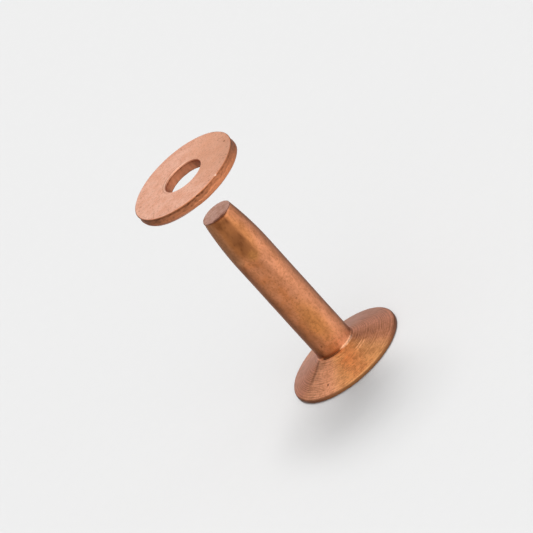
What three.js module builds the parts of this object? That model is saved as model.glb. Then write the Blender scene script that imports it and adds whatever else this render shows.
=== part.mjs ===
// Solid copper belt rivet and its burr, the punched washer that closes it.
//
// The rivet is one piece of cold-headed wire: a flat disc head with a conical underside and a
// plain shank that narrows to a flat tip.  The burr is a loose ring that is driven down the
// shank onto the leather before the tip is cut off and peened over it.
//
// Units are millimetres and +Z is up.  The origin is the centre of the head's flat face, the
// shank stands along +Z, and the burr waits above the tip on the same axis.

import * as THREE from 'three';

// ---- Driving dimensions ----------------------------------------------------------------

const SEGMENTS = 96;              // facets round every turned surface
const ARC_STEPS = 4;              // chords in each small rounded edge

// Rivet, No. 9 gauge with a 5/8 inch shank
const HEAD_RADIUS = 5.60;
const HEAD_RIM_HEIGHT = 0.42;     // thickness of the head at its edge
const HEAD_FACE_ROUNDING = 0.12;  // edge between the flat face and the rim
const HEAD_RIM_ROUNDING = 0.14;   // edge between the rim and the conical underside
const SHANK_RADIUS = 1.88;        // 0.148 inch wire
const SHANK_START_HEIGHT = 1.92;  // top of the hollow corner between the cone and the shank
const SHANK_FILLET = 0.26;        // radius of that corner
const TAPER_START_HEIGHT = 13.4;
const RIVET_LENGTH = 18.5;
const TIP_RADIUS = 1.48;
const TIP_CHAMFER = 0.06;

// Burr
const BURR_OUTER_RADIUS = 5.28;
const RUNNING_CLEARANCE = 0.03;   // radial play between the burr and the shank
const BURR_THICKNESS = 1.00;
const BURR_ROLLED_EDGE = 0.10;    // edges that the punch pulled in, on the upper face
const BURR_SHEARED_EDGE = 0.04;   // edges that the punch left sharp, on the lower face
const BURR_GAP_ABOVE_TIP = 3.7;   // height at which the burr waits above the tip

// ---- Worked-out dimensions -------------------------------------------------------------

const BURR_HOLE_RADIUS = SHANK_RADIUS + RUNNING_CLEARANCE;
const BURR_UNDERSIDE_HEIGHT = RIVET_LENGTH + BURR_GAP_ABOVE_TIP;

// ---- Profile helpers -------------------------------------------------------------------

// Points of an arc in the (radius, height) half-plane, angles in degrees from the +radius axis.
function arcPoints(centreRadius, centreHeight, arcRadius, startDegrees, endDegrees, steps = ARC_STEPS) {
  const points = [];
  for (let step = 0; step <= steps; step += 1) {
    const degrees = THREE.MathUtils.lerp(startDegrees, endDegrees, step / steps);
    const angle = THREE.MathUtils.degToRad(degrees);
    const radius = centreRadius + arcRadius * Math.cos(angle);
    const height = centreHeight + arcRadius * Math.sin(angle);
    points.push(new THREE.Vector2(radius, height));
  }
  return points;
}

// A solid of revolution about +Z.  LatheGeometry turns about Y, so it is stood up afterwards.
function turnedSolid(profile) {
  const geometry = new THREE.LatheGeometry(profile, SEGMENTS);
  geometry.rotateX(Math.PI / 2);
  return geometry;
}

function copper(color, roughness) {
  return new THREE.MeshStandardMaterial({ color, roughness, metalness: 1.0 });
}

// ---- Rivet -----------------------------------------------------------------------------

// Slope of the line that runs off the rim's upper rounding and into the hollow corner above it
// without a corner at either end.
function coneSlope() {
  const run = (HEAD_RADIUS - HEAD_RIM_ROUNDING) - (SHANK_RADIUS + SHANK_FILLET);
  const rise = SHANK_START_HEIGHT - (HEAD_RIM_HEIGHT - HEAD_RIM_ROUNDING);
  const lean = Math.asin((SHANK_FILLET + HEAD_RIM_ROUNDING) / Math.hypot(run, rise));
  return THREE.MathUtils.radToDeg(Math.atan2(rise, run) - lean);
}

// The rim's two rounded edges and the start of the conical underside.
function headRimProfile(coneSlopeDegrees) {
  const faceEdge = arcPoints(
    HEAD_RADIUS - HEAD_FACE_ROUNDING,
    HEAD_FACE_ROUNDING,
    HEAD_FACE_ROUNDING,
    -90,
    0,
  );
  const coneEdge = arcPoints(
    HEAD_RADIUS - HEAD_RIM_ROUNDING,
    HEAD_RIM_HEIGHT - HEAD_RIM_ROUNDING,
    HEAD_RIM_ROUNDING,
    0,
    90 - coneSlopeDegrees,
  );
  return [...faceEdge, ...coneEdge];
}

// The hollow corner that takes the cone's slope up to the vertical side of the shank.
function shankFilletProfile(coneSlopeDegrees) {
  return arcPoints(
    SHANK_RADIUS + SHANK_FILLET,
    SHANK_START_HEIGHT,
    SHANK_FILLET,
    270 - coneSlopeDegrees,
    180,
  );
}

// The taper is a long arc that leaves the shank's side without a corner.
function shankTaperProfile() {
  const taperLength = RIVET_LENGTH - TIP_CHAMFER - TAPER_START_HEIGHT;
  const narrowing = SHANK_RADIUS - TIP_RADIUS;
  const arcRadius = (taperLength ** 2 + narrowing ** 2) / (2 * narrowing);
  const endDegrees = THREE.MathUtils.radToDeg(Math.asin(taperLength / arcRadius));
  const taperSteps = 8;
  return arcPoints(SHANK_RADIUS - arcRadius, TAPER_START_HEIGHT, arcRadius, 0, endDegrees, taperSteps);
}

function rivetProfile() {
  const coneSlopeDegrees = coneSlope();
  return [
    new THREE.Vector2(0, 0),
    ...headRimProfile(coneSlopeDegrees),
    ...shankFilletProfile(coneSlopeDegrees),
    ...shankTaperProfile(),
    new THREE.Vector2(TIP_RADIUS - TIP_CHAMFER, RIVET_LENGTH),
    new THREE.Vector2(0, RIVET_LENGTH),
  ];
}

function makeRivet() {
  const rivet = new THREE.Mesh(turnedSolid(rivetProfile()), copper(0xb9785a, 0.38));
  rivet.name = 'rivet';
  return rivet;
}

// ---- Burr ------------------------------------------------------------------------------

// A closed ring section, walked from the hole's lower edge outwards, up and back.
function burrProfile() {
  const rolled = BURR_ROLLED_EDGE;
  const sheared = BURR_SHEARED_EDGE;
  const inner = BURR_HOLE_RADIUS;
  const outer = BURR_OUTER_RADIUS;
  const section = [
    new THREE.Vector2(inner + sheared, 0),
    new THREE.Vector2(outer - sheared, 0),
    new THREE.Vector2(outer, sheared),
    ...arcPoints(outer - rolled, BURR_THICKNESS - rolled, rolled, 0, 90),
    ...arcPoints(inner + rolled, BURR_THICKNESS - rolled, rolled, 90, 180),
    new THREE.Vector2(inner, sheared),
  ];
  return [...section, section[0].clone()];
}

function makeBurr() {
  const burr = new THREE.Mesh(turnedSolid(burrProfile()), copper(0xd09a80, 0.42));
  burr.name = 'burr';
  burr.position.z = BURR_UNDERSIDE_HEIGHT;
  return burr;
}

// ---- Assembly --------------------------------------------------------------------------

const rivetAndBurr = new THREE.Group();
rivetAndBurr.add(makeRivet(), makeBurr());

export default rivetAndBurr;
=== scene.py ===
"""A solid copper belt rivet and its loose burr, as finished surfaces around the CAD frame.

Lengths are worked in millimetres and turned into metres when a mesh is made.  Both pieces are
turned about the frame's Z axis from an outline in the (radius, height) half-plane.  A skin
function then moves each point a little along the outline's normal, for rings, dents, pits and
sheared edges, and says how tarnished it is; the same number also carries painted shade, which
darkens, and painted highlights, which brighten.  A node material gives each piece its copper.

Angles round the axis are in degrees, with 0 at +X and 90 at +Y.  The camera stands on the -Y
side, so the front of the object is at 270, its right is at 0 and its left is at 180.  A worn or
stained side, or a side with painted shade or a painted highlight, is given by three angles: its
middle, the half-width over which it is full, and the half-width at its edge, where it has faded
out.
"""

import math

import bpy
from mathutils import Matrix, Vector, noise


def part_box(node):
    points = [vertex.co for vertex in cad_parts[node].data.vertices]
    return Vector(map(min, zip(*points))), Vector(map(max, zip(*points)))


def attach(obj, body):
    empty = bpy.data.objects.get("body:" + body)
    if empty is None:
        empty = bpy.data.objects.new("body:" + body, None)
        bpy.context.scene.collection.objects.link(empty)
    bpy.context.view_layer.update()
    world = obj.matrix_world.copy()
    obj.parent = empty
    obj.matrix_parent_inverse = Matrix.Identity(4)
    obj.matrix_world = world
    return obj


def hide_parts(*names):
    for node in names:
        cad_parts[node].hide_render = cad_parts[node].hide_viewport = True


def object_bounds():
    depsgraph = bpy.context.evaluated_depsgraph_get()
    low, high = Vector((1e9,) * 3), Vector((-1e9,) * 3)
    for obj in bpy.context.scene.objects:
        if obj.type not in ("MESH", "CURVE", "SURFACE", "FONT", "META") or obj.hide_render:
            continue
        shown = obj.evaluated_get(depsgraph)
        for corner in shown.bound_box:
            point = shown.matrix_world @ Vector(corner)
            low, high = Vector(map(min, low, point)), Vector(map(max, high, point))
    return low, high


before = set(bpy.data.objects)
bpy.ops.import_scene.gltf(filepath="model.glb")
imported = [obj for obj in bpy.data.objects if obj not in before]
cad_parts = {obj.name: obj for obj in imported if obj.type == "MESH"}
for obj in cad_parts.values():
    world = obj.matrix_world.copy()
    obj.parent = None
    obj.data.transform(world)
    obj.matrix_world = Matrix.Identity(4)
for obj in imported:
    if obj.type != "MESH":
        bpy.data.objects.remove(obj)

MM = 0.001
TARNISH_AND_PAINTED_LIGHT = "tarnish_and_painted_light"            # 1 is the darkest brown, 0 is clean and -1 is freshly rubbed metal; painted shade also pushes it up and painted highlights down

CAD_LOW, CAD_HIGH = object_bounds()


# ---- Dimensions: the frame gives the outer sizes, and the rest are the part's own --------

def millimetres(corner):
    return [value / MM for value in corner]


rivet_high = millimetres(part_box("rivet")[1])
burr_low, burr_high = map(millimetres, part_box("burr"))

HEAD_RADIUS = rivet_high[0]
RIM_HEIGHT = 0.42
FACE_ROUNDING = 0.12           # edge between the head's flat face and its rim
RIM_ROUNDING = 0.14            # edge between the rim and the cone
SHANK_RADIUS = 1.88
SHANK_START_HEIGHT = 1.92      # top of the hollow corner between the cone and the shank
SHANK_FILLET = 0.26            # radius of that corner
RIVET_LENGTH = rivet_high[2]
TAPER_LENGTH = 5.1
TAPER_START_HEIGHT = RIVET_LENGTH - TAPER_LENGTH
TIP_RADIUS = 1.48
TIP_ROUNDING = 0.08

BURR_RADIUS = burr_high[0]
BURR_BOTTOM = burr_low[2]
BURR_TOP = burr_high[2]
BURR_THICKNESS = BURR_TOP - BURR_BOTTOM
RUNNING_CLEARANCE = 0.03       # radial play between the burr and the shank
BURR_HOLE_RADIUS = SHANK_RADIUS + RUNNING_CLEARANCE
BURR_OUTER_ROLL = 0.09         # rolled edges, round the outside and round the hole
BURR_INNER_ROLL = 0.15
BURR_SHARP_EDGE = 0.04         # lower edge of the hole

BODY_OF_RIVET = "rivet"
BODY_OF_BURR = "burr"


# ---- Small helpers for wear and painted light --------------------------------------------

PIT_DEPTH = 0.05               # of the pits in the cone and in the burr's faces


def smooth_step(low, high, value):
    """0 up to low, 1 from high on, and a smooth rise between them."""
    t = min(max((value - low) / (high - low), 0.0), 1.0)
    return t * t * (3 - 2 * t)


def fade_out(low, high, value):
    """1 up to low, 0 from high on, and a smooth fall between them."""
    return 1 - smooth_step(low, high, value)


def angle_gap(first, second):
    """The smaller angle between two directions, in degrees."""
    return abs((first - second + 180) % 360 - 180)


def window(angle, middle, full, edge):
    """1 within full degrees of a direction, falling smoothly to 0 at edge degrees."""
    return fade_out(full, edge, angle_gap(angle, middle))


def wave(turns):
    """A ripple between 0 and 1, once for each turn."""
    return 0.5 + 0.5 * math.sin(2 * math.pi * turns)


def noise_at(angle, radius, height, scale, seed):
    """Smooth noise from -1 to 1 on the surface, with features about 1 / scale millimetres wide."""
    turn = math.radians(angle)
    point = Vector((radius * math.cos(turn), radius * math.sin(turn), height))
    return noise.noise(point * scale + Vector((seed, 2 * seed, 3 * seed)))


def mottle_at(angle, radius, height, scale, seed):
    """The same noise, from 0 to 1."""
    return 0.5 + 0.5 * noise_at(angle, radius, height, scale, seed)


def dent(angle, radius, height, at_angle, at_radius, at_height, size):
    """1 in the middle of a small round dent and 0 outside it; size is its radius."""
    turn = math.radians(angle)
    at_turn = math.radians(at_angle)
    x_gap = radius * math.cos(turn) - at_radius * math.cos(at_turn)
    y_gap = radius * math.sin(turn) - at_radius * math.sin(at_turn)
    distance = math.sqrt(x_gap ** 2 + y_gap ** 2 + (height - at_height) ** 2)
    return fade_out(0.2 * size, size, distance)


def face_pits(marks, angle, radius):
    """1 in the middle of any of the pits in a face; each mark is an angle, a radius and a size."""
    pits = 0.0
    for at_angle, at_radius, size in marks:
        pits = max(pits, dent(angle, radius, 0, at_angle, at_radius, 0, size))
    return pits


# ---- Turned meshes -----------------------------------------------------------------------

def line_points(start, end, count):
    """Points along a straight stretch of outline, the last one left to the next stretch."""
    points = []
    for step in range(count):
        t = step / count
        points.append((start[0] + (end[0] - start[0]) * t, start[1] + (end[1] - start[1]) * t))
    return points


def arc_point(centre, radius, degrees):
    turn = math.radians(degrees)
    return centre[0] + radius * math.cos(turn), centre[1] + radius * math.sin(turn)


def arc_points(centre, radius, start_degrees, end_degrees, count):
    """Points along an arc of outline, the last one left to the next stretch."""
    points = []
    for step in range(count):
        degrees = start_degrees + (end_degrees - start_degrees) * step / count
        points.append(arc_point(centre, radius, degrees))
    return points


def outline_normal(before, after):
    """The outward normal of an outline that is walked with the material on its left."""
    along = Vector((after[0] - before[0], after[1] - before[1])).normalized()
    return along.y, -along.x


def turned_rings(rows, outline, first_row, segments):
    """The points of each ring, moved by its skin, and how tarnished each of them is, with its
    painted shade and painted highlights.
    """
    vertices = []
    tarnishes_and_painted_light = []
    for index in range(first_row, len(rows)):
        (radius, height), skin, t = rows[index]
        after = outline[(index + 1) % len(outline)]
        out_radius, out_height = outline_normal(outline[index - 1], after)
        for segment in range(segments):
            angle = 360 * segment / segments
            stand, tarnish_and_painted_light = skin(t, angle, radius, height)
            turn = math.radians(angle)
            moved = radius + out_radius * stand
            lifted = height + out_height * stand
            vertices.append((moved * math.cos(turn), moved * math.sin(turn), lifted))
            tarnishes_and_painted_light.append(tarnish_and_painted_light)
    return vertices, tarnishes_and_painted_light


def ring_faces(ring_count, closed, segments):
    """Faces between each ring and the next.  A closed outline joins its last ring to its first."""
    faces = []
    for ring in range(ring_count if closed else ring_count - 1):
        low = ring * segments
        high = (ring + 1) % ring_count * segments
        for segment in range(segments):
            beside = (segment + 1) % segments
            faces.append((low + segment, low + beside, high + beside, high + segment))
    return faces


def add_end_fans(vertices, tarnishes_and_painted_light, faces, bottom_height, top_height, segments):
    """Triangles from the first ring and from the last one to points on the axis."""
    bottom_centre = len(vertices)
    top_centre = bottom_centre + 1
    last_ring = bottom_centre - segments
    vertices += [(0, 0, bottom_height), (0, 0, top_height)]
    tarnishes_and_painted_light += [tarnishes_and_painted_light[0], tarnishes_and_painted_light[-1]]
    for segment in range(segments):
        beside = (segment + 1) % segments
        faces.append((bottom_centre, beside, segment))
        faces.append((top_centre, last_ring + segment, last_ring + beside))


def mesh_piece(name, vertices, tarnishes_and_painted_light, faces):
    """A smooth mesh, turned from millimetres into metres, that carries its tarnish, painted shade
    and painted highlights.
    """
    mesh = bpy.data.meshes.new(name)
    mesh.from_pydata([(x * MM, y * MM, z * MM) for x, y, z in vertices], [], faces)
    mesh.polygons.foreach_set("use_smooth", [True] * len(mesh.polygons))
    mesh.attributes.new(TARNISH_AND_PAINTED_LIGHT, "FLOAT", "POINT").data.foreach_set("value", tarnishes_and_painted_light)
    mesh.update()
    piece = bpy.data.objects.new(name, mesh)
    bpy.context.scene.collection.objects.link(piece)
    return piece


def turned_piece(name, stretches, segments, last_point=None):
    """A mesh turned about Z.  Each stretch is (points, skin), where skin(t, angle, radius, height)
    gives how far, in millimetres, the surface stands out of the plain outline, and its tarnish,
    which also carries painted shade and painted highlights.  t runs from 0 to 1 along the stretch.
    An outline that starts on the axis ends there too, at last_point; without a last point the
    outline is a closed ring."""
    rows = []
    for points, skin in stretches:
        for step, point in enumerate(points):
            rows.append((point, skin, step / len(points)))
    outline = [point for point, skin, t in rows]
    closed = last_point is None
    first_row = 0
    if not closed:
        outline.append(last_point)
        first_row = 1
    vertices, tarnishes_and_painted_light = turned_rings(rows, outline, first_row, segments)
    faces = ring_faces(len(rows) - first_row, closed, segments)
    if not closed:
        add_end_fans(vertices, tarnishes_and_painted_light, faces, outline[0][1], last_point[1], segments)
    return mesh_piece(name, vertices, tarnishes_and_painted_light, faces)


# ---- Rivet: skin -------------------------------------------------------------------------

RIVET_SEGMENTS = 340
FACE_RING_PITCH = 0.30         # of the faint rings on the head's flat face
RING_PITCH = 0.185             # of the rings on the cone
RING_DEPTH = 0.009
RING_CENTRE = (0.05, -0.04)    # the rings run a little off the rivet's own axis
BRIGHT_ARC_PITCH = 0.27        # of the bright scratches on the cone
HIGH_SIDE = (230, 30, 62)      # where the cone climbs a little higher up the shank
HIGH_SIDE_CLIMB = 0.10         # and by how many millimetres
CREASE_SIDE = (240, 26, 35)    # where the hollow corner is a sharp crease, darkened as painted shade
CREASE_DEPTH = 0.030
GLINT_SIDE = (298, 18, 33)     # where the hollow corner is fuller and has a painted highlight
GLINT_FULLNESS = 0.014
STREAK_ANGLE = 196.5           # where the line on the cone starts: a shallow groove, darkened as a painted reflection of the shank
STREAK_DEPTH = 0.010
SHANK_SINK = 0.010             # sinks the shank's waves below its plain outline
PIT_TARNISH = 20               # tarnish for each millimetre of a shank pit's depth
SHANK_MARKS = (                # angle, height, size and depth of each pit in the shank
    (275, 8.2, 0.13, 0.030),
    (240, 11.3, 0.20, 0.022),
    (288, 11.4, 0.16, 0.018),
    (302, 12.8, 0.17, 0.018),
    (235, 3.0, 0.14, 0.028),
    (292, 4.4, 0.09, 0.020),
    (258, 6.3, 0.10, 0.015),
)
CONE_MARKS = (                 # angle, radius and size of each pit in the cone
    (230, 4.51, 0.15),
)


def head_face_skin(t, angle, radius, height):
    """Faint turning marks and a hand-worn unevenness.  The face only ever sinks inwards."""
    marks = wave(radius / FACE_RING_PITCH)
    worn = mottle_at(angle, radius, 0, 0.5, seed=3)
    sunk = 0.004 * marks + 0.012 * worn
    return -sunk * smooth_step(0, 0.1, t), 0.25 * worn * marks


def rim_skin(t, angle, radius, height):
    """The rim is painted brown as painted shade, for the dark contact shadow that its side
    mirrors.  Its upper rounding is lighter, but not on the far side.
    """
    worn = mottle_at(angle, radius, height, 0.55, seed=7)
    fine = mottle_at(angle, radius, height, 4.0, seed=9)
    below_rounding = fade_out(RIM_HEIGHT - RIM_ROUNDING, RIM_HEIGHT, height)
    # painted shade: the rim's side is darkened below its upper rounding
    painted_shade_brown = (0.24 + 0.60 * below_rounding) * (0.80 + 0.20 * fine)
    far_side = 0.60 * window(angle, 80, 70, 110)
    return -0.030 * worn - 0.010 * fine, max(painted_shade_brown, far_side)


def ring_wave(angle, radius):
    """Turning rings, below 0 in the grooves and above 0 on the ridges, a little uneven in their
    pitch and in their depth."""
    turn = math.radians(angle)
    x_gap = radius * math.cos(turn) - RING_CENTRE[0]
    y_gap = radius * math.sin(turn) - RING_CENTRE[1]
    from_centre = math.hypot(x_gap, y_gap)
    shift = 0.30 * math.sin(2 * math.pi * from_centre / 0.93)
    shift += 0.14 * noise_at(angle, radius, 0, 0.9, seed=25)
    depth = 0.65 + 0.60 * noise.noise(Vector((from_centre * 3.1, 0.0, 0.0)))
    return depth * math.sin(2 * math.pi * (from_centre / RING_PITCH + shift))


def ring_strength(angle, radius, height):
    """The rings are deepest on the right and on the left, fairly deep at the front left, and
    partly rubbed away everywhere else and in patches."""
    right = window(angle, 352, 22, 75)
    left = window(angle, 188, 20, 70)
    front_left = 0.45 * window(angle, 232, 25, 60)
    patchy = smooth_step(-0.35, 0.45, noise_at(angle, radius, height, 1.7, seed=15))
    return (0.38 + 0.62 * max(right, left, front_left)) * (0.40 + 0.60 * patchy)


def cone_groove_and_painted_reflection(angle, radius):
    """A line that runs from the hollow corner out towards the rim, and widens: a shallow groove,
    darkened as a painted reflection of the shank.
    """
    along = smooth_step(SHANK_RADIUS + 0.12, HEAD_RADIUS - 0.40, radius)
    middle = STREAK_ANGLE + 3 * along
    half_width = 0.26 + 0.16 * along
    off_line = math.radians(angle_gap(angle, middle)) * radius
    return fade_out(0.2 * half_width, half_width, off_line) * fade_out(3.4, 4.9, radius)


def bright_arcs(angle, radius):
    """Short scratches on the cone that run with the rings, just right of the shank."""
    arcs = wave(radius / BRIGHT_ARC_PITCH) ** 2
    band = smooth_step(2.85, 3.05, radius) * fade_out(3.35, 3.55, radius)
    return arcs * band * window(angle, 300, 5, 17)


def cone_brown_and_shade(angle, radius):
    """Sides of the cone that are darker than the rest; the darker left is painted shade."""
    # painted shade: the left side is darkened
    left = 0.14 * window(angle, 175, 15, 45)
    right = 0.18 * window(angle, 312, 14, 40)
    right_by_shank = 0.20 * window(angle, 322, 8, 30) * fade_out(3.2, 4.6, radius)
    back = 0.30 * window(angle, 45, 30, 60)
    return left + right + right_by_shank + back


def cone_skin(t, angle, radius, height):
    """Turning rings over a slow swell, with a shallow groove darkened as a painted reflection of
    the shank, scratches and a pit.
    """
    rings = ring_wave(angle, radius)
    strength = ring_strength(angle, radius, height)
    groove_and_reflection = cone_groove_and_painted_reflection(angle, radius)
    pits = face_pits(CONE_MARKS, angle, radius)
    grain = 0.003 * noise_at(angle, radius * 9, height * 9, 1.1, seed=13)
    swell = 0.020 * noise_at(angle, radius, height, 0.45, seed=17)
    off_edges = smooth_step(0, 0.06, t) * fade_out(0.93, 1, t)
    climb = HIGH_SIDE_CLIMB * window(angle, *HIGH_SIDE) * fade_out(2.05, 3.0, radius)
    stand = (RING_DEPTH * strength * rings + grain + swell) * off_edges
    stand += climb - PIT_DEPTH * pits - STREAK_DEPTH * groove_and_reflection

    grooves = (0.5 - 0.5 * rings) ** 2 * strength
    mottle = smooth_step(0.0, 0.6, noise_at(angle, radius, height, 3.2, seed=21))
    tarnish_and_painted_light = 0.04 + cone_brown_and_shade(angle, radius) + 0.66 * grooves + 0.10 * mottle
    # the line's darkening is a painted reflection of the shank
    tarnish_and_painted_light += 0.46 * groove_and_reflection + 0.9 * pits - 0.7 * bright_arcs(angle, radius)
    return stand, tarnish_and_painted_light


def corner_skin(t, angle, radius, height):
    """The hollow corner: a sharp crease darkened as painted shade on one side, and a fuller
    hollow with a painted highlight on another.
    """
    climb = HIGH_SIDE_CLIMB * window(angle, *HIGH_SIDE) * fade_out(0.0, 0.5, t)
    crease = window(angle, *CREASE_SIDE) * fade_out(0.22, 0.46, abs(t - 0.5))
    glint = window(angle, *GLINT_SIDE) * math.sin(math.pi * t ** 0.7)
    stand = climb - CREASE_DEPTH * crease + GLINT_FULLNESS * glint
    # painted shade in the crease, and a painted highlight where it is fuller
    return stand, 0.95 * crease - 0.45 * glint


def shank_stain(angle, height):
    """A brown stain on the front of the taper, darkest at its own middle, with painted shade just
    below the tip's edge.
    """
    ragged = 0.50 * noise_at(angle, SHANK_RADIUS, height, 1.1, seed=33)
    ragged += 0.25 * noise_at(angle, SHANK_RADIUS, height, 3.0, seed=35)
    sideways = window(angle + 12 * ragged, 249, 26, 48)
    lower_edge = TAPER_START_HEIGHT + 0.3
    upwards = smooth_step(lower_edge, lower_edge + 1.1, height + 0.8 * ragged)
    from_middle = abs(height - (TAPER_START_HEIGHT + 2.0))
    core = window(angle, 263, 6, 26) * fade_out(0.5, 1.6, from_middle)
    below_tip = RIVET_LENGTH - height
    # painted shade just below the tip's edge
    under_tip = window(angle, 255, 14, 34) * fade_out(0.3, 1.3, below_tip)
    return upwards * sideways * (0.48 + 0.10 * core + 0.22 * under_tip)


def painted_shank_shade(angle, height):
    """Painted shade: darker bands along the shank's right and left edges and its lower left, a
    little darker near the tip, and a dark line where it leaves the hollow corner.
    """
    above_corner = height - SHANK_START_HEIGHT
    right = 0.24 * window(angle, 338, 6, 24)
    left = 0.08 * window(angle, 214, 8, 28) * fade_out(12.5, 13.5, height)
    lower_left = 0.20 * window(angle, 222, 12, 40) * fade_out(4.0, 9.0, height)
    near_tip = 0.10 * window(angle, 290, 15, 40) * smooth_step(14.5, 16.5, height)
    painted_crease_shade = 0.50 * window(angle, *CREASE_SIDE) * fade_out(0.04, 0.28, above_corner)
    return right + left + lower_left + near_tip + painted_crease_shade


def shank_mottle(angle, radius, height):
    """Drawn-out mottling, specks, slow clouds, and blotches just above the hollow corner."""
    mottle = smooth_step(0.05, 0.7, noise_at(angle, radius, height * 0.6, 2.6, seed=37))
    specks = smooth_step(0.35, 0.75, noise_at(angle, radius, height, 6.0, seed=39))
    clouds = smooth_step(-0.1, 0.6, noise_at(angle, radius, height * 0.5, 0.9, seed=45))
    blotches = smooth_step(0.0, 0.5, noise_at(angle, radius, height, 2.2, seed=49))
    blotches *= fade_out(0.28, 1.48, height - SHANK_START_HEIGHT)
    return 0.16 * mottle + 0.20 * specks + 0.14 * clouds + 0.26 * blotches


def shank_pits(angle, radius, height):
    """How deep the shank is pitted, in millimetres."""
    pitted = 0.0
    for at_angle, at_height, size, depth in SHANK_MARKS:
        if abs(height - at_height) < size:
            pitted += depth * dent(angle, radius, height, at_angle, radius, at_height, size)
    return pitted


def shank_skin(t, angle, radius, height):
    """Drawn wire: fine lines along the shank, a slow waviness, and a few pits."""
    drawn_lines = 0.0025 * noise_at(angle, radius * 6, height * 0.25, 1.0, seed=19)
    waviness = 0.010 * noise_at(angle, radius, height, 0.35, seed=23)
    grain = 0.0020 * noise_at(angle, radius, height, 5.0, seed=29)
    off_corner = smooth_step(0, 0.02, t)
    pits = shank_pits(angle, radius, height)
    stand = (drawn_lines + waviness + grain - SHANK_SINK) * off_corner - pits
    tarnish_and_painted_light = shank_stain(angle, height) + painted_shank_shade(angle, height)
    tarnish_and_painted_light += shank_mottle(angle, radius, height) + PIT_TARNISH * pits
    return stand, tarnish_and_painted_light


def tip_skin(t, angle, radius, height):
    """The end was cropped, so it is a little hollow and drags down at one edge, which is
    darkened as painted shade.
    """
    out = radius / TIP_RADIUS
    hollow = 0.03 * (1 - out ** 2)
    dragged = 0.07 * smooth_step(0.6, 1.0, out) * window(angle, 268, 10, 58)
    grain = 0.006 * (1 + noise_at(angle, radius, height, 5.0, seed=31))
    stand = -(hollow + dragged + grain) * smooth_step(-0.10, 0.05, t)

    dull = 0.05 * (1 + noise_at(angle, radius, height, 3.5, seed=51))
    # painted shade along the near edge, wider at its middle
    near_edge_shade = 0.75 * smooth_step(0.86, 0.96, out) * window(angle, 258, 30, 58)
    wider_middle_shade = 0.85 * smooth_step(0.74, 0.82, out) * window(angle, 262, 20, 34)
    far_edge = 0.40 * smooth_step(0.92, 1.0, out) * window(angle, 90, 60, 100)
    return stand, dull + max(near_edge_shade, wider_middle_shade) + far_edge


# ---- Rivet: outline ----------------------------------------------------------------------

def cone_slope():
    """Slope, in degrees, of the line from the rim's rounding into the hollow corner with no
    kink at either end."""
    run = (HEAD_RADIUS - RIM_ROUNDING) - (SHANK_RADIUS + SHANK_FILLET)
    rise = SHANK_START_HEIGHT - (RIM_HEIGHT - RIM_ROUNDING)
    lean = math.asin((SHANK_FILLET + RIM_ROUNDING) / math.hypot(run, rise))
    return math.degrees(math.atan2(rise, run) - lean)


def shank_outline():
    """The shank's side, from the hollow corner up to the tip's rounding.  The taper is a long
    arc that leaves the straight part without a kink."""
    curved_length = TAPER_LENGTH - TIP_ROUNDING
    narrowing = SHANK_RADIUS - TIP_RADIUS
    taper_radius = (curved_length ** 2 + narrowing ** 2) / (2 * narrowing)
    taper_turn = math.degrees(math.asin(curved_length / taper_radius))
    taper_centre = (SHANK_RADIUS - taper_radius, TAPER_START_HEIGHT)
    shank_start = (SHANK_RADIUS, SHANK_START_HEIGHT)
    taper_start = (SHANK_RADIUS, TAPER_START_HEIGHT)
    points = line_points(shank_start, taper_start, count=64)
    points += arc_points(taper_centre, taper_radius, 0, taper_turn, count=28)
    return points


def make_rivet():
    slope = cone_slope()
    face_centre = (0.0, 0.0)
    face_edge = (HEAD_RADIUS - FACE_ROUNDING, 0.0)
    face_edge_centre = (HEAD_RADIUS - FACE_ROUNDING, FACE_ROUNDING)
    rim_centre = (HEAD_RADIUS - RIM_ROUNDING, RIM_HEIGHT - RIM_ROUNDING)
    corner_centre = (SHANK_RADIUS + SHANK_FILLET, SHANK_START_HEIGHT)
    cone_start = arc_point(rim_centre, RIM_ROUNDING, 90 - slope)
    cone_end = arc_point(corner_centre, SHANK_FILLET, 270 - slope)
    tip_edge = (TIP_RADIUS - TIP_ROUNDING, RIVET_LENGTH)
    tip_edge_centre = (TIP_RADIUS - TIP_ROUNDING, RIVET_LENGTH - TIP_ROUNDING)
    tip_centre = (0.0, RIVET_LENGTH)

    face = line_points(face_centre, face_edge, count=22)
    rim = arc_points(face_edge_centre, FACE_ROUNDING, -90, 0, count=6)
    rim += arc_points(rim_centre, RIM_ROUNDING, 0, 90 - slope, count=6)
    cone = line_points(cone_start, cone_end, count=124)
    corner = arc_points(corner_centre, SHANK_FILLET, 270 - slope, 180, count=10)
    tip = arc_points(tip_edge_centre, TIP_ROUNDING, 0, 90, count=5)
    tip += line_points(tip_edge, tip_centre, count=14)
    stretches = [
        (face, head_face_skin),
        (rim, rim_skin),
        (cone, cone_skin),
        (corner, corner_skin),
        (shank_outline(), shank_skin),
        (tip, tip_skin),
    ]

    rivet = turned_piece("rivet_surface", stretches, RIVET_SEGMENTS, tip_centre)
    rivet.data.materials.append(rivet_copper())
    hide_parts("rivet")
    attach(rivet, BODY_OF_RIVET)


# ---- Burr: skin --------------------------------------------------------------------------

BURR_SEGMENTS = 480
SHEAR_STEP = 0.035            # how far the torn lower part of the edge stands out
TORN_LEVEL = 0.40             # part of the thickness that is torn
RIB_PITCH = 2.6               # degrees from rib to rib on the right of the faces
LIP_RADIUS = BURR_HOLE_RADIUS + 0.25      # of a thin brown line behind the hole
FLAT_SIDE = (128, 6, 32)      # a slightly flattened stretch of the outer edge
FLAT_DEPTH = 0.07
NICK_ANGLE = 267              # a dark nick in the upper edge
NICK_SIZE = 0.14
RUBBED_ANGLE = 294            # a bright spot beside it
RUBBED_SIZE = 0.17
BURR_MARKS = (                # angle, radius and size of each pit in the faces
    (354, 4.70, 0.15),
    (8, 4.35, 0.07),
    (166, 4.70, 0.10),
    (210, 4.20, 0.07),
)


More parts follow.
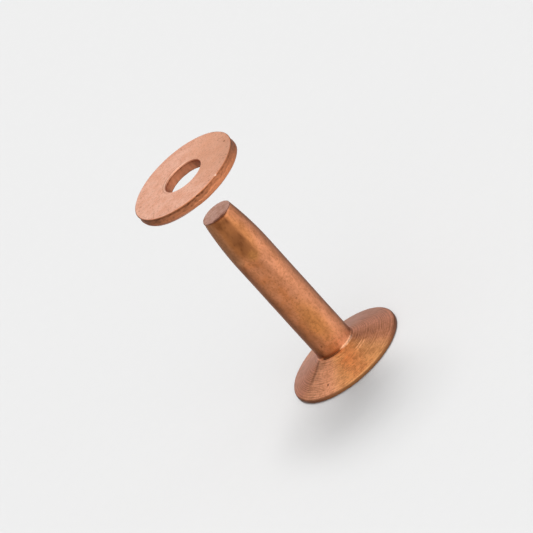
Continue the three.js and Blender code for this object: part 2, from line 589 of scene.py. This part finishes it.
def burr_face_skin(t, angle, radius, height):
    """Rolled sheet: shallow mottling, only ever sunk below the flat."""
    mottle = mottle_at(angle, radius, height, 1.6, seed=41)
    fine = mottle_at(angle, radius, height, 5.5, seed=43)
    pits = face_pits(BURR_MARKS, angle, radius)
    ribs = wave(angle / RIB_PITCH + 0.4 * mottle)
    ribs *= window(angle, 338, 14, 34) * smooth_step(3.6, 4.9, radius)
    stand = -0.012 * mottle - 0.004 * fine - 0.004 * ribs - PIT_DEPTH * pits

    specks = smooth_step(0.25, 0.65, noise_at(angle, radius, height, 4.6, seed=55))
    specks *= 0.5 + smooth_step(BURR_RADIUS - 1.3, BURR_RADIUS - 0.2, radius)
    lip_line = window(angle, 132, 40, 80) * fade_out(0.02, 0.07, abs(radius - LIP_RADIUS))
    right = window(angle, 335, 30, 70)
    rubbed = dent(angle, radius, 0, RUBBED_ANGLE, BURR_RADIUS - 0.10, 0, RUBBED_SIZE)
    tarnish_and_painted_light = 0.26 * specks + 0.08 * mottle + 0.20 * ribs + 0.07 * right + 0.40 * lip_line
    tarnish_and_painted_light += 0.85 * pits - 1.2 * rubbed
    return stand, tarnish_and_painted_light


def burr_edge_brown(angle, level, ragged, dragged):
    """The dragged band is browner, most at the front left, and has a dark line along its top.
    The middle and the right of the edge are a little browner from top to bottom."""
    brown_side = max(window(angle, 225, 38, 80), 0.5 * window(angle, 340, 20, 50))
    line_side = max(window(angle, 236, 32, 60), 0.8 * window(angle, 330, 20, 40))
    upper_line = smooth_step(0.70 + ragged, 0.86 + ragged, level) * line_side
    middle = 0.12 * window(angle, 275, 14, 40)
    right = 0.12 * window(angle, 330, 14, 40)
    return dragged * (0.12 + 0.10 * brown_side) + 0.40 * upper_line + middle + right


def burr_edge_skin(t, angle, radius, height):
    """The punched edge, from the bottom up: a torn band that stands out, then a dragged, browner
    band that pulls in towards the rolled upper edge."""
    level = (height - BURR_BOTTOM) / BURR_THICKNESS
    ragged = 0.12 * noise_at(angle, radius, 0, 0.9, seed=47)
    ragged += 0.07 * noise_at(angle, radius, 0, 4.0, seed=49)
    boundary = TORN_LEVEL + ragged
    dragged = smooth_step(boundary - 0.05, boundary + 0.05, level)
    streaks = mottle_at(angle, radius, height * 2.2, 2.9, seed=53)
    wobble = 0.016 * mottle_at(angle, radius, height, 0.5, seed=59)
    flattened = FLAT_DEPTH * window(angle, *FLAT_SIDE)
    bent_up = 0.13 * window(angle, 214, 24, 60) * fade_out(0.0, 0.40, level)
    nick = dent(angle, radius, height, NICK_ANGLE, BURR_RADIUS, BURR_TOP - 0.15, NICK_SIZE)
    stand = -SHEAR_STEP * dragged - 0.016 * streaks - 0.08 * nick
    stand -= wobble + flattened + bent_up

    fine = mottle_at(angle, radius * 2, height * 3.0, 3.2, seed=57)
    tarnish_and_painted_light = burr_edge_brown(angle, level, ragged, dragged) + 0.9 * nick
    tarnish_and_painted_light += 0.34 * smooth_step(0.45, 0.80, streaks) * (0.15 + 0.85 * dragged)
    tarnish_and_painted_light += 0.20 * smooth_step(0.50, 0.80, fine)
    return stand, tarnish_and_painted_light


def burr_hole_skin(t, angle, radius, height):
    """The hole's wall is torn too, but never closer to the shank than the CAD hole."""
    level = (height - BURR_BOTTOM) / BURR_THICKNESS
    torn = mottle_at(angle, radius * 2.6, height * 1.5, 1.2, seed=61)
    coarse = mottle_at(angle, radius * 2, height * 3, 1.6, seed=63)
    upper_line = 0.40 * smooth_step(0.68, 0.84, level)
    tarnish_and_painted_light = 0.08 + 0.26 * smooth_step(0.4, 0.9, torn) + 0.26 * coarse + upper_line
    return -0.020 * torn, tarnish_and_painted_light


def roll_softness(angle, radius, height):
    """The rolled upper edges are softer at some places than at others."""
    return mottle_at(angle, radius, height, 0.8, seed=67)


def inner_roll_skin(t, angle, radius, height):
    """The rolled edge of the hole, brightened at the back as a painted highlight."""
    softness = roll_softness(angle, radius, height)
    # painted highlight at the back of the rolled edge
    rubbed = window(angle, 125, 44, 80)
    return -0.020 * softness - 0.006, -0.30 * rubbed


def outer_roll_skin(t, angle, radius, height):
    """The rolled outer edge, darker along its front and behind, with a dark nick and a bright
    spot side by side."""
    softness = roll_softness(angle, radius, height)
    edge = BURR_RADIUS - 0.03
    nick = dent(angle, radius, height, NICK_ANGLE, edge, BURR_TOP - 0.10, NICK_SIZE)
    rubbed = dent(angle, radius, height, RUBBED_ANGLE, edge, BURR_TOP - 0.03, RUBBED_SIZE)
    flattened = FLAT_DEPTH * window(angle, *FLAT_SIDE)
    near_side = (0.25 + 0.35 * softness) * window(angle, 250, 70, 100) * fade_out(0.3, 0.9, t)
    far_side = 0.65 * window(angle, 110, 60, 100) * smooth_step(0.3, 0.8, t)
    stand = -0.020 * softness - 0.006 - flattened - 0.06 * nick
    return stand, near_side + far_side + 0.9 * nick - 1.3 * rubbed


# ---- Burr: outline -----------------------------------------------------------------------

def make_burr():
    hole = BURR_HOLE_RADIUS
    hole_low_edge = hole + BURR_SHARP_EDGE
    hole_high_edge = hole + BURR_INNER_ROLL
    hole_wall_low = BURR_BOTTOM + BURR_SHARP_EDGE
    hole_wall_high = BURR_TOP - BURR_INNER_ROLL
    outer = BURR_RADIUS
    outer_edge = outer - BURR_OUTER_ROLL
    outer_wall_low = BURR_BOTTOM + BURR_OUTER_ROLL
    outer_wall_high = BURR_TOP - BURR_OUTER_ROLL

    under = line_points((hole_low_edge, BURR_BOTTOM), (outer_edge, BURR_BOTTOM), count=26)
    edge = arc_points((outer_edge, outer_wall_low), BURR_OUTER_ROLL, -90, 0, count=5)
    edge += line_points((outer, outer_wall_low), (outer, outer_wall_high), count=22)
    outer_roll = arc_points((outer_edge, outer_wall_high), BURR_OUTER_ROLL, 0, 90, count=8)
    top = line_points((outer_edge, BURR_TOP), (hole_high_edge, BURR_TOP), count=62)
    inner_roll = arc_points((hole_high_edge, hole_wall_high), BURR_INNER_ROLL, 90, 180, count=9)
    wall = line_points((hole, hole_wall_high), (hole, hole_wall_low), count=16)
    wall += line_points((hole, hole_wall_low), (hole_low_edge, BURR_BOTTOM), count=3)
    stretches = [
        (under, burr_face_skin),
        (edge, burr_edge_skin),
        (outer_roll, outer_roll_skin),
        (top, burr_face_skin),
        (inner_roll, inner_roll_skin),
        (wall, burr_hole_skin),
    ]

    burr = turned_piece("burr_surface", stretches, BURR_SEGMENTS)
    burr.data.materials.append(burr_copper())
    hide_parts("burr")
    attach(burr, BODY_OF_BURR)


# ---- Node helpers ------------------------------------------------------------------------

# The dark brown is that of tarnish and of painted shade; the rubbed copper is that of rubbed spots
# and of painted highlights.
DARK_BROWN = (0.17, 0.054, 0.019, 1)
RUBBED_AND_HIGHLIGHT_COPPER = (0.97, 0.66, 0.50, 1)


class NodeSketch:
    """Short names for the shader nodes in use.  Inputs are sockets, numbers or colours."""

    def __init__(self, tree):
        self.tree = tree
        self.tree.nodes.clear()

    def add(self, kind, **settings):
        node = self.tree.nodes.new(kind)
        for key, value in settings.items():
            setattr(node, key, value)
        return node

    def feed(self, socket, value):
        if isinstance(value, bpy.types.NodeSocket):
            self.tree.links.new(value, socket)
        else:
            socket.default_value = value

    def calculate(self, operation, first, second):
        node = self.add("ShaderNodeMath", operation=operation)
        self.feed(node.inputs[0], first)
        self.feed(node.inputs[1], second)
        return node.outputs[0]

    def multiply(self, first, second):
        return self.calculate("MULTIPLY", first, second)

    def sum(self, first, second):
        return self.calculate("ADD", first, second)

    def highest(self, first, second):
        return self.calculate("MAXIMUM", first, second)

    def clamped(self, value):
        """The value, kept between 0 and 1."""
        return self.calculate("MINIMUM", self.highest(value, 0.0), 1.0)

    def span(self, value, low, high, to_low=0.0, to_high=1.0):
        """A smooth change from to_low to to_high as value goes from low to high."""
        node = self.add("ShaderNodeMapRange", interpolation_type="SMOOTHSTEP")
        self.feed(node.inputs["Value"], value)
        node.inputs["From Min"].default_value = low
        node.inputs["From Max"].default_value = high
        node.inputs["To Min"].default_value = to_low
        node.inputs["To Max"].default_value = to_high
        return node.outputs["Result"]

    def position(self):
        """The surface point in millimetres, in the piece's own frame."""
        coordinates = self.add("ShaderNodeTexCoord")
        scaled = self.add("ShaderNodeVectorMath", operation="SCALE")
        self.feed(scaled.inputs[0], coordinates.outputs["Object"])
        scaled.inputs["Scale"].default_value = 1 / MM
        return scaled.outputs[0]

    def stretched(self, vector, x, y, z):
        node = self.add("ShaderNodeVectorMath", operation="MULTIPLY")
        self.feed(node.inputs[0], vector)
        node.inputs[1].default_value = (x, y, z)
        return node.outputs[0]

    def height(self, vector):
        node = self.add("ShaderNodeSeparateXYZ")
        self.feed(node.inputs[0], vector)
        return node.outputs["Z"]

    def radius(self, vector):
        """How far a point is from the Z axis."""
        node = self.add("ShaderNodeVectorMath", operation="LENGTH")
        self.feed(node.inputs[0], self.stretched(vector, 1.0, 1.0, 0.0))
        return node.outputs["Value"]

    def along(self, vector, heading):
        """How far a vector reaches along a heading, which is a unit vector."""
        node = self.add("ShaderNodeVectorMath", operation="DOT_PRODUCT")
        self.feed(node.inputs[0], vector)
        node.inputs[1].default_value = heading
        return node.outputs["Value"]

    def near(self, vector, place, inner, outer, squash=1.0):
        """1 within inner millimetres of a place and 0 beyond outer, with heights shortened by
        squash, so that a patch comes out long and narrow."""
        x, y, z = place
        node = self.add("ShaderNodeVectorMath", operation="DISTANCE")
        self.feed(node.inputs[0], self.stretched(vector, 1.0, 1.0, squash))
        node.inputs[1].default_value = (x, y, z * squash)
        return self.span(node.outputs["Value"], inner, outer, 1.0, 0.0)

    def facing(self, vector, angle, full, edge):
        """1 on the side within full degrees of an angle round the axis, and 0 beyond edge."""
        unit = self.add("ShaderNodeVectorMath", operation="NORMALIZE")
        self.feed(unit.inputs[0], self.stretched(vector, 1.0, 1.0, 0.0))
        reach = self.along(unit.outputs[0], direction(angle, 0))
        return self.span(reach, math.cos(math.radians(edge)), math.cos(math.radians(full)))

    def noise(self, vector, scale, detail=3.0, roughness=0.55):
        node = self.add("ShaderNodeTexNoise")
        self.feed(node.inputs["Vector"], vector)
        node.inputs["Scale"].default_value = scale
        node.inputs["Detail"].default_value = detail
        node.inputs["Roughness"].default_value = roughness
        return node.outputs["Fac"]

    def mix(self, amount, first, second):
        """A colour from first, at 0, to second, at 1.  A Mix node has sockets for each kind of
        value; its colours are 6 and 7, and its result is 2."""
        node = self.add("ShaderNodeMix", data_type="RGBA")
        self.feed(node.inputs[0], amount)
        self.feed(node.inputs[6], first)
        self.feed(node.inputs[7], second)
        return node.outputs[2]

    def tint(self, color, where, amount, other):
        """The colour, taken part of the way to another one where it says."""
        return self.mix(self.multiply(where, amount), color, other)

    def tarnished_and_painted_light(self, color):
        """The colour, browned by the tarnish and painted shade that the mesh carries, or brightened
        by its rubbed spots and painted highlights.
        """
        tarnish_and_painted_light = self.add("ShaderNodeAttribute", attribute_name=TARNISH_AND_PAINTED_LIGHT).outputs["Fac"]
        browned_and_shaded = self.mix(self.clamped(tarnish_and_painted_light), color, DARK_BROWN)
        rubbed = self.clamped(self.multiply(tarnish_and_painted_light, -1.0))
        return self.mix(rubbed, browned_and_shaded, RUBBED_AND_HIGHLIGHT_COPPER)

    def bump(self, height, strength, distance_mm):
        node = self.add("ShaderNodeBump")
        node.inputs["Strength"].default_value = strength
        node.inputs["Distance"].default_value = distance_mm * MM
        self.feed(node.inputs["Height"], height)
        return node.outputs["Normal"]


def direction(azimuth, elevation):
    """A unit vector; azimuth runs round Z from +X, and elevation is up from level."""
    turn = math.radians(azimuth)
    rise = math.radians(elevation)
    level = math.cos(rise)
    return Vector((level * math.cos(turn), level * math.sin(turn), math.sin(rise)))


# ---- Materials ---------------------------------------------------------------------------

def new_material(name):
    material = bpy.data.materials.new(name)
    material.use_nodes = True
    return material, NodeSketch(material.node_tree)


def copper_shader(nodes, color, roughness, normal):
    shader = nodes.add("ShaderNodeBsdfPrincipled")
    shader.inputs["Metallic"].default_value = 1.0
    nodes.feed(shader.inputs["Base Color"], color)
    nodes.feed(shader.inputs["Roughness"], roughness)
    nodes.feed(shader.inputs["Normal"], normal)
    output = nodes.add("ShaderNodeOutputMaterial")
    nodes.feed(output.inputs["Surface"], shader.outputs["BSDF"])


def shank_color(nodes, position, clouds):
    """Warm copper, pinker where it faces the key light, with amber, olive and tan patches."""
    warm = (0.84, 0.295, 0.112, 1)
    rosy = (0.84, 0.325, 0.150, 1)
    salmon = (0.90, 0.378, 0.205, 1)
    amber = (0.85, 0.330, 0.092, 1)
    olive = (0.52, 0.250, 0.060, 1)
    tan = (1.00, 0.440, 0.200, 1)

    key_side = nodes.facing(position, 308, 14, 50)
    front = -SHANK_RADIUS
    low_patch = nodes.near(position, (0.0, front, 5.4), 0.2, 1.35, squash=0.35)
    stain_foot = nodes.near(position, (-0.1, front, 14.0), 0.15, 0.80)
    under_tip = nodes.near(position, (-0.2, -1.7, 16.2), 0.8, 1.7, squash=0.5)
    on_taper = nodes.span(nodes.height(position), 13.0, 14.2)
    left_of_taper = nodes.multiply(nodes.facing(position, 200, 18, 40), on_taper)

    color = nodes.mix(nodes.span(clouds, 0.40, 0.60), warm, rosy)
    color = nodes.tint(color, key_side, 0.7, salmon)
    color = nodes.tint(color, low_patch, 0.8, amber)
    color = nodes.tint(color, stain_foot, 0.6, olive)
    color = nodes.tint(color, under_tip, 0.6, amber)
    return nodes.mix(left_of_taper, color, tan)


def cone_color(nodes, position, color, front):
    """The shank's colour, with painted shade in mauve on the shaded sides, a painted reflection
    in coral at the front left and a painted highlight in gold in front.
    """
    painted_highlight_gold = (1.00, 0.490, 0.190, 1)
    painted_reflection_coral = (0.92, 0.400, 0.215, 1)
    painted_shade_mauve = (0.70, 0.268, 0.155, 1)

    back_right = nodes.facing(position, 15, 20, 70)
    back_left = nodes.facing(position, 165, 10, 50)
    color = nodes.mix(nodes.highest(back_right, back_left), color, painted_shade_mauve)
    color = nodes.mix(nodes.facing(position, 228, 14, 40), color, painted_reflection_coral)
    return nodes.mix(front, color, painted_highlight_gold)


def rivet_copper():
    """Drawn and cold-headed copper, satin and a little browned."""
    material, nodes = new_material("drawn_copper")
    position = nodes.position()
    height = nodes.height(position)
    clouds = nodes.noise(position, 0.55, detail=4.0, roughness=0.6)
    on_cone = nodes.span(height, SHANK_START_HEIGHT - 0.25, SHANK_START_HEIGHT, 1.0, 0.0)
    on_tip = nodes.span(height, RIVET_LENGTH - 0.10, RIVET_LENGTH - 0.05)
    # the front of the cone, which carries the gold painted highlight and is a little duller
    front = nodes.facing(position, 276, 14, 44)

    grey_pink = (0.70, 0.400, 0.310, 1)
    brown_patch = (0.38, 0.140, 0.048, 1)
    color = shank_color(nodes, position, clouds)
    color = nodes.mix(on_cone, color, cone_color(nodes, position, color, front))
    color = nodes.mix(on_tip, color, grey_pink)
    color = nodes.tarnished_and_painted_light(color)
    drawn_out = nodes.stretched(position, 1.0, 1.0, 0.45)
    patches = nodes.noise(drawn_out, 1.5, detail=5.0, roughness=0.65)
    color = nodes.mix(nodes.span(patches, 0.42, 0.66, 0.0, 0.38), color, brown_patch)
    tooth = nodes.noise(position, 4.5, detail=5.0, roughness=0.70)
    color = nodes.mix(nodes.span(tooth, 0.47, 0.63, 0.0, 0.44), color, brown_patch)

    satin = nodes.span(clouds, 0.3, 0.7, 0.30, 0.36)
    duller = nodes.multiply(nodes.sum(on_cone, on_tip), 0.05)
    dullest = nodes.multiply(nodes.multiply(front, on_cone), 0.12)
    roughness = nodes.sum(nodes.sum(satin, duller), dullest)

    drawn_lines = nodes.noise(nodes.stretched(position, 6.0, 6.0, 0.6), 1.6, roughness=0.6)
    relief = nodes.sum(nodes.multiply(drawn_lines, 0.6), nodes.multiply(tooth, 0.5))
    normal = nodes.bump(relief, strength=0.30, distance_mm=0.02)
    copper_shader(nodes, color, roughness, normal)
    return material


def burr_copper():
    """Rolled and punched copper sheet: pale pink faces and a browner, torn edge."""
    material, nodes = new_material("punched_copper")
    position = nodes.position()
    radius = nodes.radius(position)
    clouds = nodes.noise(position, 0.9, detail=5.0, roughness=0.65)
    right = nodes.facing(position, 350, 20, 90)
    on_edge = nodes.span(radius, BURR_RADIUS - 0.10, BURR_RADIUS - 0.05)
    in_hole = nodes.span(radius, BURR_HOLE_RADIUS + 0.03, BURR_HOLE_RADIUS + 0.08, 1.0, 0.0)

    pale = (0.96, 0.530, 0.375, 1)
    rosy = (0.90, 0.460, 0.305, 1)
    peach = (0.88, 0.435, 0.265, 1)
    orange = (0.80, 0.298, 0.140, 1)
    brick = (0.80, 0.310, 0.165, 1)
    brown_tooth = (0.52, 0.220, 0.120, 1)
    color = nodes.mix(nodes.span(clouds, 0.40, 0.62), pale, rosy)
    color = nodes.tint(color, right, 0.8, peach)
    color = nodes.mix(on_edge, color, orange)
    color = nodes.mix(in_hole, color, brick)
    color = nodes.tarnished_and_painted_light(color)
    tooth = nodes.noise(position, 5.0, detail=5.0, roughness=0.70)
    color = nodes.mix(nodes.span(tooth, 0.46, 0.66, 0.0, 0.48), color, brown_tooth)

    roughness = nodes.span(clouds, 0.3, 0.7, 0.42, 0.50)
    scratches = nodes.noise(nodes.stretched(position, 9.0, 1.2, 9.0), 1.2, roughness=0.5)
    relief = nodes.sum(nodes.multiply(scratches, 0.5), nodes.multiply(tooth, 0.7))
    normal = nodes.bump(relief, strength=0.30, distance_mm=0.02)
    copper_shader(nodes, color, roughness, normal)
    return material


# ---- Studio ------------------------------------------------------------------------------

PAPER_WHITE = 1.05             # makes the background's own light grey match the floor
WORLD_LEVEL = 0.30             # the dim light that comes from everywhere
SOFTBOXES = (                  # azimuth, elevation, full half-width, edge half-width, strength
    (90, 25, 12, 38, 0.80),      # the white backdrop behind the object
    (90, -24, 10, 40, 0.20),     # and what of it shows below the object
    (246, -24, 34, 80, 0.52),    # a wide light low in front
    (320, -22, 8, 32, 0.58),     # the key light, low on the right
    (2, -24, 12, 46, 0.58),      # its spill, further round
    (-15, 16, 7, 24, 1.60),      # a small bright lamp on the right
    (302, 15, 16, 30, 1.10),     # and a wider one nearer the camera
    (270, 64, 10, 34, 0.45),     # above the camera
    (80, 80, 14, 42, 1.30),      # overhead
    (272, 34, 16, 48, 0.85),     # beside the camera
    (180, 22, 20, 55, 0.18),     # on the left
)
SHADOW_LAMPS = (               # azimuth and elevation
    (62, 74),
    (70, 68),
    (88, 60),
)
SHADOW_LAMP_STRENGTH = 0.86
SHADOW_LAMP_SIZE = 17          # degrees across, for soft edges
FLOOR_HALF_WIDTH = 3.0         # metres


def make_world():
    """A dim room with soft lamps in it.  The camera itself sees it as plain paper."""
    world = bpy.data.worlds.new("studio")
    world.use_nodes = True
    nodes = NodeSketch(world.node_tree)
    toward = nodes.add("ShaderNodeTexCoord").outputs["Generated"]
    light = WORLD_LEVEL
    for azimuth, elevation, full, edge, strength in SOFTBOXES:
        reach = nodes.along(toward, direction(azimuth, elevation))
        outer = math.cos(math.radians(edge))
        inner = math.cos(math.radians(full))
        light = nodes.sum(light, nodes.span(reach, outer, inner, 0.0, strength))
    seen = nodes.add("ShaderNodeLightPath").outputs["Is Camera Ray"]
    level = nodes.add("ShaderNodeMix", data_type="FLOAT")
    nodes.feed(level.inputs[0], seen)
    nodes.feed(level.inputs[2], light)
    nodes.feed(level.inputs[3], PAPER_WHITE)
    background = nodes.add("ShaderNodeBackground")
    nodes.feed(background.inputs["Strength"], level.outputs[0])
    output = nodes.add("ShaderNodeOutputWorld")
    nodes.feed(output.inputs["Surface"], background.outputs[0])
    bpy.context.scene.world = world


def make_shadow_lamps(floor):
    """Soft lamps high up behind the object.  They light only the floor, where its shadow falls
    towards the camera, so that they leave no glare on the copper."""
    lit = bpy.data.collections.new("lit_by_shadow_lamps")
    lit.objects.link(floor)
    for azimuth, elevation in SHADOW_LAMPS:
        lamp = bpy.data.lights.new("shadow_lamp", "SUN")
        lamp.energy = SHADOW_LAMP_STRENGTH
        lamp.angle = math.radians(SHADOW_LAMP_SIZE)
        sun = bpy.data.objects.new("shadow_lamp", lamp)
        sun.rotation_mode = "QUATERNION"
        sun.rotation_quaternion = direction(azimuth, elevation).to_track_quat("Z", "Y")
        bpy.context.scene.collection.objects.link(sun)
        sun.light_linking.receiver_collection = lit


def pale_paper():
    material, nodes = new_material("pale_paper")
    darker = (0.525, 0.525, 0.525, 1)
    lighter = (0.535, 0.535, 0.535, 1)
    fibres = nodes.noise(nodes.position(), 0.8)
    shader = nodes.add("ShaderNodeBsdfDiffuse")
    nodes.feed(shader.inputs["Color"], nodes.mix(fibres, darker, lighter))
    output = nodes.add("ShaderNodeOutputMaterial")
    nodes.feed(output.inputs["Surface"], shader.outputs[0])
    return material


def make_floor():
    """A wide sheet of pale paper under the head, lit by the room but not mirrored in the copper."""
    half = FLOOR_HALF_WIDTH
    corners = [(-half, -half, 0), (half, -half, 0), (half, half, 0), (-half, half, 0)]
    mesh = bpy.data.meshes.new("floor")
    mesh.from_pydata(corners, [], [(0, 1, 2, 3)])
    mesh.materials.append(pale_paper())
    floor = bpy.data.objects.new("floor", mesh)
    floor.location.z = CAD_LOW[2]
    floor.visible_glossy = False
    bpy.context.scene.collection.objects.link(floor)
    return floor


# ---- Camera ------------------------------------------------------------------------------

CAMERA_ELEVATION = 23.6       # degrees above the plane of the head
CAMERA_ROLL = 42.2            # degrees that the shank leans to the left of upright
PICTURE_WIDTH = 46.6          # millimetres across the picture at the object
HEAD_RIGHT_OF_CENTRE = 7.02   # millimetres from the picture's centre to the head's centre
HEAD_BELOW_CENTRE = 7.88
LENS = 600.0
SENSOR = 36.0
NEAR_CLIP = 0.01              # metres
FAR_CLIP = 10.0


def make_camera():
    rise = math.radians(CAMERA_ELEVATION)
    roll = math.radians(CAMERA_ROLL)
    backward = Vector((0, -math.cos(rise), math.sin(rise)))
    level_right = Vector((1, 0, 0))
    level_up = Vector((0, math.sin(rise), math.cos(rise)))
    right = level_right * math.cos(roll) - level_up * math.sin(roll)
    up = level_right * math.sin(roll) + level_up * math.cos(roll)
    distance = PICTURE_WIDTH * LENS / SENSOR
    aim = up * HEAD_BELOW_CENTRE - right * HEAD_RIGHT_OF_CENTRE
    data = bpy.data.cameras.new("camera")
    data.lens = LENS
    data.sensor_width = SENSOR
    data.clip_start = NEAR_CLIP
    data.clip_end = FAR_CLIP
    camera = bpy.data.objects.new("camera", data)
    turned = Matrix((right, up, backward)).transposed().to_4x4()
    camera.matrix_world = Matrix.Translation((aim + backward * distance) * MM) @ turned
    bpy.context.scene.collection.objects.link(camera)
    bpy.context.scene.camera = camera


# ---- Build -------------------------------------------------------------------------------


bpy.context.scene.view_settings.view_transform = "Standard"
make_camera()
make_world()
make_shadow_lamps(make_floor())
make_rivet()
make_burr()
